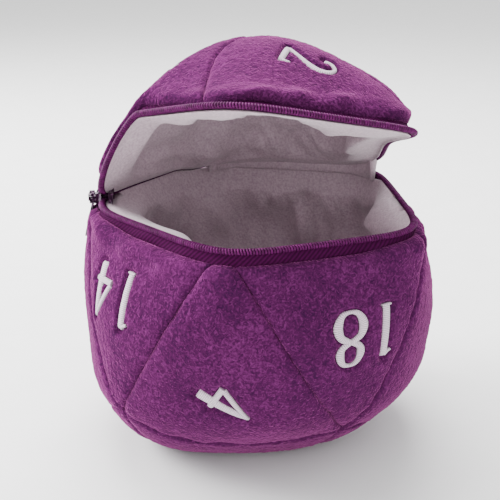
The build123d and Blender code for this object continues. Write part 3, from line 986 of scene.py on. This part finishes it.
def body_lining_depth(azimuth, tilt):
    """How far inside the skin the body's lining hangs; angles in degrees."""
    from_rim = tilt - RIM_TILT
    base = rim_inset(azimuth, from_rim) + 6.6 * smooth(0, 8, from_rim)
    out = radial(np.radians(azimuth), np.radians(tilt)) * BALL_R
    folds = 2.2 * wobble(out, 30, seed=31) + 1.1 * wobble(out * np.array([1, 1, 0.35]), 12, seed=32)
    loose = smooth(2, 14, from_rim)
    return np.maximum(base + loose * (1.5 + folds), LEAST_INSET)


def body_lining_swell(azimuth, tilt):
    """How far the loose lining stands in, level, beside the zip; angles in degrees."""
    return smooth(0, 3, tilt - RIM_TILT) * lobes(azimuth, tilt, BODY_PILLOWS)


def lid_lining_depth(azimuth, tilt):
    """How far inside the skin the lid's lining hangs; angles in degrees."""
    from_rim = RIM_TILT - tilt
    base = rim_inset(azimuth, from_rim) + 5.2 * smooth(0, 6, from_rim)
    out = radial(np.radians(azimuth), np.radians(tilt)) * BALL_R
    folds = 1.6 * wobble(out, 28, seed=33) + 0.7 * wobble(out, 11, seed=34)
    loose = smooth(3, 14, from_rim)
    hang = smooth(1, 8, from_rim) * lobes(azimuth, tilt, LID_LOBES)
    return np.maximum(base + loose * (3.0 + folds) + hang, LEAST_INSET)


def ring_grid(first, last, rows, columns, depth, swell=None):
    """A full round of points between two tilts, a depth inside the skin and a further way in."""
    azimuth = np.linspace(0, 2 * math.pi, columns, endpoint=False)[None]
    tilt = np.radians(np.linspace(first, last, rows))[:, None]
    inset = depth(np.degrees(azimuth) + 0 * tilt, np.degrees(tilt) + 0 * azimuth)
    points = skin(azimuth, tilt) - radial(azimuth, tilt) * inset[..., None]
    if swell:
        way_in = swell(np.degrees(azimuth) + 0 * tilt, np.degrees(tilt) + 0 * azimuth)
        points = points - radial(azimuth, math.pi / 2) * way_in[..., None]
    return points, azimuth, tilt


def cloth_shell(first, last, depth, swell, thick, rows=90, columns=240):
    """Grids and UV of a thin cloth bowl that hangs inside the skin."""
    face, azimuth, tilt = ring_grid(first, last, rows, columns, depth, swell)
    behind = face + radial(azimuth, tilt) * thick
    flat = np.stack([face[..., 0] + 0.4 * face[..., 2], face[..., 1] + 0.9 * face[..., 2]], -1)
    return behind, face, flat


# ---------------------------------------------------------------- settings


class DiceBagSettings(bpy.types.PropertyGroup):
    """Colours and sizes of the bag"""

    plush: bpy.props.StringProperty(name="Plush", description="Main colour of the pile", default="#451540")
    # Painted light: the tips of the pile, painted paler as if lit
    plush_light: bpy.props.StringProperty(
        name="Plush light", description="Tips of the pile", default="#5f2458")
    # Painted shade: the pile between the fibres, painted darker where shade falls
    plush_deep: bpy.props.StringProperty(
        name="Plush deep", description="Between the fibres", default="#321034")
    plush_sheen: bpy.props.StringProperty(
        name="Plush sheen", description="Glancing light on the pile", default="#e578c4")
    thread: bpy.props.StringProperty(name="Thread", description="Embroidery thread", default="#d6c6d2")
    # Painted shade in the grooves between the embroidery threads
    thread_gap: bpy.props.StringProperty(
        name="Thread gap", description="Between the threads", default="#9a8797")
    tape: bpy.props.StringProperty(name="Tape", description="Zip tape", default="#420a3a")
    # Painted shade in the grooves of the zip tape
    tape_dark: bpy.props.StringProperty(
        name="Tape dark", description="Grooves of the zip tape", default="#2e0728")
    coil: bpy.props.StringProperty(name="Coil", description="Zip coil", default="#5e1254")
    coil_dark: bpy.props.StringProperty(
        name="Coil dark", description="Zip coil in shade", default="#400a38")
    lining: bpy.props.StringProperty(name="Lining", description="Inner cloth", default="#c2aeb8")
    lining_dark: bpy.props.StringProperty(
        name="Lining dark", description="Inner cloth's weave", default="#a18a97")
    enamel: bpy.props.StringProperty(name="Enamel", description="Slider and pull", default="#3a1038")
    coil_pitch: bpy.props.FloatProperty(
        name="Coil pitch", description="Between two turns of the coil", default=1.0 * MM, unit="LENGTH")
    stitch_pitch: bpy.props.FloatProperty(
        name="Stitch pitch", description="Between two stitches on the tape", default=2.6 * MM, unit="LENGTH")
    lens: bpy.props.FloatProperty(
        name="Lens", description="Focal length of the camera in millimetres", default=66.6)
    camera_azimuth: bpy.props.FloatProperty(
        name="Camera azimuth", description="Round the bag from the front",
        default=math.radians(11.56), subtype="ANGLE")
    camera_height: bpy.props.FloatProperty(
        name="Camera elevation", description="Above the horizon",
        default=math.radians(19.81), subtype="ANGLE")
    camera_distance: bpy.props.FloatProperty(
        name="Camera distance", description="From the point looked at", default=372.56 * MM, unit="LENGTH")


# ---------------------------------------------------------------- operators


class MakePanels(bpy.types.Operator):
    """Sews the twenty plush panels"""

    bl_idname = "dice_bag.panels"
    bl_label = "Plush Panels"

    def execute(self, context):
        rows = [("lid", "lid", "lid_panel", LID_NUMBERS), ("down", "body", "side_panel", DOWN_NUMBERS),
                ("up", "body", "side_panel", UP_NUMBERS), ("base", "body", "base_panel", BASE_NUMBERS)]
        for kind, body, label, numbers in rows:
            for side, value in enumerate(numbers):
                outer, inner = plush_panel(kind, side, value)
                points, faces = walls(outer, inner)
                node = f"{label}_{value}"
                make(f"plush_{node}", points, faces, "plush", body, [node])
        return {"FINISHED"}


class MakeNumbers(bpy.types.Operator):
    """Embroiders a number on each panel"""

    bl_idname = "dice_bag.numbers"
    bl_label = "Embroidered Numbers"

    def execute(self, context):
        for value, spot in SPOTS.items():
            points, faces, uv = numeral_mesh(spot)
            body = "lid" if value in LID_NUMBERS else "body"
            make(f"embroidered_{value}", points, faces, "embroidery", body, [f"number_{value}"], uv)
        return {"FINISHED"}


class MakeTapes(bpy.types.Operator):
    """Lays the woven zip tapes round the mouth"""

    bl_idname = "dice_bag.tapes"
    bl_label = "Zip Tapes"

    def execute(self, context):
        azimuths = np.radians(np.linspace(-ZIP_END - 2, ZIP_END + 2, 360))
        for side, body, node in ((-1, "body", "zip_tape_lower"), (1, "lid", "zip_tape_upper")):
            outer, inner = tape_grid(azimuths, side)
            points, faces = walls(outer, inner)
            across = np.linspace(0, 9, len(outer))[:, None]
            flat = np.stack(np.broadcast_arrays(rim_lengths(azimuths)[None], across), -1)
            make(node + "_cloth", points, faces, "zip_tape", body, [node], np.concatenate([flat, flat]))
        return {"FINISHED"}


COIL_OFFSET = 1.0  # each coil lies this far above or below the rim
TURN_SIZES = {"Width": 1.9 * MM, "Height": 1.6 * MM, "Thread": 0.4 * MM}
STITCH_SIZES = {"Width": 0.5 * MM, "Height": 1.7 * MM, "Thread": 0.5 * MM}
STITCH_ROW = 2  # row of the tape's grid that is stitched
STITCH_PROUD = 0.15


class MakeCoils(bpy.types.Operator):
    """Winds the zip's two coils and sews them on"""

    bl_idname = "dice_bag.coils"
    bl_label = "Zip Coils"

    def execute(self, context):
        settings = context.scene.dice_bag
        turns = repeat_tree("coil_turns", material_for("zip_coil"), "turn")
        stitches = repeat_tree("tape_stitches", material_for("zip_coil"), "stitch")
        azimuths = np.radians(np.linspace(-ZIP_END, ZIP_END, 900))
        for side, body, node in ((-1, "body", "zip_coil_lower"), (1, "lid", "zip_coil_upper")):
            line = rim_point(azimuths, side * COIL_OFFSET, 0.0)
            row = tape_grid(azimuths, side)[0][STITCH_ROW] + radial(azimuths, math.pi / 2) * STITCH_PROUD
            for part, points, tree, pitch, sizes in (
                ("_turns", line, turns, settings.coil_pitch, TURN_SIZES),
                ("_stitches", row, stitches, settings.stitch_pitch, STITCH_SIZES),
            ):
                if body == "lid":
                    points = lifted(tucked(points))
                mesh = along_curve(node, points, tree, Pitch=pitch, **sizes)
                attach(new_object(node + part, mesh), body, [node])
        return {"FINISHED"}


FOLD_END_INSET = 5.5  # the folds at the hinge run this much further in at their zipped end
# Name, slot and node of each fold, degrees that it starts before the zip's end and ends past the
# hinge's, its inset, half width and points round
HINGE_FOLDS = (
    ("hinge_seam_roll", "plush", ["hinge_seam"], 1, -1, 0.0, 1.7, 14),
    ("hinge_lining_fold", "lining", [], 7, 1, 3.9, 2.1, 12),
)
STOP_SIZE = (2.0, 2.8, 2.6)


class MakeHinge(bpy.types.Operator):
    """Rolls the seam that the lid turns on and fits the zip's end stops"""

    bl_idname = "dice_bag.hinge"
    bl_label = "Hinge Seam"

    def fold(self, azimuths, inset, wide, around):
        """A soft roll of cloth along the rim, inset from it, with capped ends and its UV."""
        line = rim_point(azimuths, 0, inset + FOLD_END_INSET * smooth(201, 215, np.degrees(azimuths)))
        turn = np.linspace(0, 2 * math.pi, around, endpoint=False)
        out = radial(azimuths, math.pi / 2)
        reach = wide + 0.12 * wobble(line, 7, seed=51)
        across = np.cos(turn)[None, :, None] * out[:, None] + 1.35 * np.sin(turn)[None, :, None] * UP
        ring = line[:, None] + reach[:, None, None] * across
        flat = np.stack(np.broadcast_arrays(rim_lengths(azimuths)[:, None], (turn * wide)[None]), -1)
        return ring, tube_faces(len(line), around), flat

    def execute(self, context):
        for name, slot, nodes, early, late, *sizes in HINGE_FOLDS:
            azimuths = np.radians(np.linspace(ZIP_END - early, HINGE_CORNERS[1] + late, 140))
            ring, faces, flat = self.fold(azimuths, *sizes)
            make(name, ring, faces, slot, "hinge", nodes, flat)
        for sign, node in ((-1, "zip_stop_left"), (1, "zip_stop_right")):
            middle = rim_point(np.array([sign * math.radians(ZIP_END + 0.2)]), -0.9, 0)[0]
            bm = bmesh.new()
            add_block(bm, STOP_SIZE, middle, math.radians(sign * ZIP_END), 0.5)
            finish_block(bm, node + "_clip", "zip_metal", "body", [node])
        return {"FINISHED"}


def add_block(bm, size, middle, azimuth, bevel):
    """A rounded block: size along the rim, outwards and up, turned to face out at an azimuth."""
    made = bmesh.ops.create_cube(bm, size=1.0)["verts"]
    along = np.array([math.cos(azimuth), math.sin(azimuth), 0])
    out = np.array([math.sin(azimuth), -math.cos(azimuth), 0])
    for vert in made:
        x, y, z = np.array(vert.co) * size
        vert.co = Vector((middle + along * x + out * y + UP * z) * MM)
    edges = list({edge for vert in made for edge in vert.link_edges})
    bmesh.ops.bevel(bm, geom=edges, offset=bevel * MM, segments=3, profile=0.5, affect="EDGES")


def finish_block(bm, name, slot, body, nodes):
    """A piece from finished blocks, smooth-shaded and attached."""
    mesh = bpy.data.meshes.new(name)
    bmesh.ops.recalc_face_normals(bm, faces=bm.faces)
    for face in bm.faces:
        face.smooth = True
    bm.to_mesh(mesh)
    bm.free()
    mesh.materials.append(material_for(slot))
    return attach(new_object(name, mesh), body, nodes)


# Blocks of the slider: size along the rim, outwards and up, place from the pin the same way, bevel
SLIDER_BLOCKS = (
    ((6.8, 1.1, 5.4), (0, -2.1, 0), 0.45),  # front plate
    ((6.8, 0.9, 4.8), (0, -6.7, 0), 0.4),  # back plate
    ((2.0, 4.6, 1.4), (0, -4.4, 0), 0.3),  # the web between them
    ((0.9, 3.4, 2.4), (-2, -0.6, 0), 0.4),  # cheeks that hold the pin
    ((0.9, 3.4, 2.4), (2, -0.6, 0), 0.4),
    ((4.8, 1.0, 1.0), (0, 0, 0), 0.45),  # pin
    ((4.6, 1.1, 2.0), (0, 0.9, 0.9), 0.5),  # crown
)
# Half width of the pull tab at points down its length: length and half width
PULL_OUTLINE = ((-1.3, 0.5), (-1.0, 1.1), (0.0, 1.3), (1.2, 1.3), (3.0, 1.3), (4.4, 2.0), (6.0, 2.5),
                (13.0, 2.5), (14.8, 2.2), (15.8, 1.4), (16.0, 0.5))
PULL_LEAN = 14.0
PULL_HALF_THICK = 0.45


class MakeSlider(bpy.types.Operator):
    """Casts the slider with its crown and the pull that hangs from it"""

    bl_idname = "dice_bag.slider"
    bl_label = "Slider And Pull"

    def execute(self, context):
        azimuth = SLIDER_AZ
        out = radial(azimuth, math.pi / 2)
        along = np.array([math.cos(azimuth), math.sin(azimuth), 0])
        bm = bmesh.new()
        for size, (sideways, outwards, upwards), bevel in SLIDER_BLOCKS:
            middle = PULL_PIN + along * sideways + out * outwards + UP * upwards
            add_block(bm, size, middle, azimuth, bevel)
        finish_block(bm, "slider_casting", "zip_metal", "slider", ["zip_slider"])
        self.pull(azimuth, PULL_PIN)
        return {"FINISHED"}

    def pull(self, azimuth, pin):
        """A stamped tab, narrow at the pin and wide below, with a raised edge."""
        lean = math.radians(PULL_LEAN)
        along = np.array([math.cos(azimuth), math.sin(azimuth), 0])
        out = radial(azimuth, math.pi / 2)
        down = -UP * math.cos(lean) + out * math.sin(lean)
        face = np.cross(along, down)
        left = [(-w, d) for d, w in PULL_OUTLINE]
        right = [(w, d) for d, w in reversed(PULL_OUTLINE)]
        ring = left + right
        bm = bmesh.new()
        loops = []
        for thick in (-PULL_HALF_THICK, PULL_HALF_THICK):
            spots = [(pin + along * x + down * d + face * thick) * MM for x, d in ring]
            loops.append([bm.verts.new(spot) for spot in spots])
        front = bm.faces.new(loops[0])
        back = bm.faces.new(list(reversed(loops[1])))
        count = len(ring)
        for i in range(count):
            j = (i + 1) % count
            bm.faces.new((loops[0][i], loops[1][i], loops[1][j], loops[0][j]))
        bmesh.ops.inset_region(bm, faces=[front, back], thickness=0.55 * MM, depth=-0.12 * MM)
        bmesh.ops.bevel(bm, geom=list(bm.edges), offset=0.12 * MM, segments=2, profile=0.5, affect="EDGES")
        finish_block(bm, "pull_tab", "zip_metal", "pull", ["zip_pull"])


BODY_LINING_FLAT = (0.26, 0.26)  # squares of cloth, in metres, that the linings are cut from
LID_LINING_FLAT = (0.16, 0.16)
PADDING_INSET = 4.6  # the padding starts this far inside the skin
PADDING_FLOOR = 2.4  # heights of the flat bottoms of the padding and the lining
LINING_FLOOR = 8.0


class MakeInside(bpy.types.Operator):
    """Hangs the lining inside the bag and lays the padding behind the plush"""

    bl_idname = "dice_bag.inside"
    bl_label = "Lining And Padding"

    def execute(self, context):
        shells = [("body", "body_lining", RIM_TILT + 0.35, 180, body_lining_depth, body_lining_swell,
                   BODY_LINING_FLAT),
                  ("lid", "lid_lining", RIM_TILT - 0.35, 0, lid_lining_depth, None, LID_LINING_FLAT)]
        for body, node, first, last, depth, swell, flat_size in shells:
            behind, face, flat = cloth_shell(first, last, depth, swell, 0.5)
            if body == "body":
                face[..., 2] = np.maximum(face[..., 2], LINING_FLOOR)
                behind[..., 2] = np.maximum(behind[..., 2], LINING_FLOOR - 0.6)
            points, faces = walls(behind, face, wrap=True)
            obj = make(node + "_cloth", points, faces, "lining", body, [node], np.concatenate([flat, flat]))
        layers = [("body", "body_padding", BODY_EDGE_TILT + 4, 180, body_lining_depth),
                  ("lid", "lid_padding", LID_EDGE_TILT - 4, 0, lid_lining_depth)]
        for body, node, first, last, depth in layers:
            outer = ring_grid(first, last, 40, 120, lambda a, t: 0 * a + PADDING_INSET)[0]
            inner = ring_grid(first, last, 40, 120,
                              lambda a, t, depth=depth: np.maximum(depth(a, t) - 1.2, PADDING_INSET + 0.4))[0]
            for grid, floor in ((outer, PADDING_FLOOR), (inner, LINING_FLOOR - 1.0)):
                grid[..., 2] = np.maximum(grid[..., 2], floor)
            points, faces = walls(outer, inner, wrap=True)
            make(node + "_wadding", points, faces, "padding", body, [node])
        return {"FINISHED"}


FLOOR_REACH = 4.0  # in metres, as are the lights' places
WORLD_STRENGTH = 1.35
# Name, place, size and power of each light, and the point that they face
LIGHTS = (
    ("key", (-0.95, 0.05, 0.6), 0.6, 30.0),
    ("fill", (0.7, -0.6, 0.35), 0.8, 1.0),
    ("top", (-0.15, 0.35, 0.9), 0.7, 18.0),
)
LIT_POINT = (0, 0, 0.07)
CAMERA_TARGET = (-3.72, 74.02)  # point looked at: to the right of the bag's axis, and up


class MakeStage(bpy.types.Operator):
    """Sets the floor, the soft lights and the camera"""

    bl_idname = "dice_bag.stage"
    bl_label = "Stage"

    def execute(self, context):
        settings = context.scene.dice_bag
        mesh = bpy.data.meshes.new("floor")
        corners = ((-1, -1), (1, -1), (1, 1), (-1, 1))
        mesh.from_pydata([(x * FLOOR_REACH, y * FLOOR_REACH, 0) for x, y in corners], [], [(0, 1, 2, 3)])
        mesh.materials.append(material_for("stage"))
        new_object("floor", mesh)
        world = bpy.data.worlds.new("studio")
        world.use_nodes = True
        background = world.node_tree.nodes["Background"]
        background.inputs["Color"].default_value = (1, 1, 1, 1)
        background.inputs["Strength"].default_value = WORLD_STRENGTH
        context.scene.world = world
        for lamp in LIGHTS:
            self.light(*lamp)
        context.scene.camera = self.camera(settings)
        return {"FINISHED"}

    def light(self, name, place, size, power):
        """A square soft light that faces the bag."""
        lamp = bpy.data.lights.new(name, "AREA")
        lamp.size = size
        lamp.energy = power
        obj = new_object(name, lamp)
        obj.location = place
        obj.rotation_euler = (Vector(LIT_POINT) - Vector(place)).to_track_quat("-Z", "Y").to_euler()

    def camera(self, settings):
        """The camera, aimed so that the bag sits in the frame as in a product view."""
        data = bpy.data.cameras.new("camera")
        data.lens = settings.lens
        data.sensor_width = 36
        obj = new_object("camera", data)
        a, e = settings.camera_azimuth, settings.camera_height
        back = Vector((math.sin(a) * math.cos(e), -math.cos(a) * math.cos(e), math.sin(e)))
        sideways, height = CAMERA_TARGET
        target = Vector((sideways * MM * math.cos(a), sideways * MM * math.sin(a), height * MM))
        obj.location = target + back * settings.camera_distance
        obj.rotation_euler = (-back).to_track_quat("-Z", "Y").to_euler()
        return obj


class DiceBagPanel(bpy.types.Panel):
    """Lists the pieces of the dice bag"""

    bl_idname = "VIEW3D_PT_dice_bag"
    bl_label = "Dice Bag"
    bl_space_type = "VIEW_3D"
    bl_region_type = "UI"
    bl_category = "Dice Bag"

    def draw(self, context):
        for operator in OPERATORS:
            self.layout.operator(operator.bl_idname)


OPERATORS = (MakePanels, MakeNumbers, MakeTapes, MakeCoils, MakeHinge, MakeSlider, MakeInside, MakeStage)
CLASSES = (DiceBagSettings, *OPERATORS, DiceBagPanel)


def register():
    for cls in CLASSES:
        bpy.utils.register_class(cls)
    bpy.types.Scene.dice_bag = bpy.props.PointerProperty(type=DiceBagSettings)


def unregister():
    del bpy.types.Scene.dice_bag
    for cls in reversed(CLASSES):
        bpy.utils.unregister_class(cls)


def main():
    register()
    for operator in OPERATORS:
        group, name = operator.bl_idname.split(".")
        getattr(getattr(bpy.ops, group), name)()


if __name__ == "__main__":
    main()
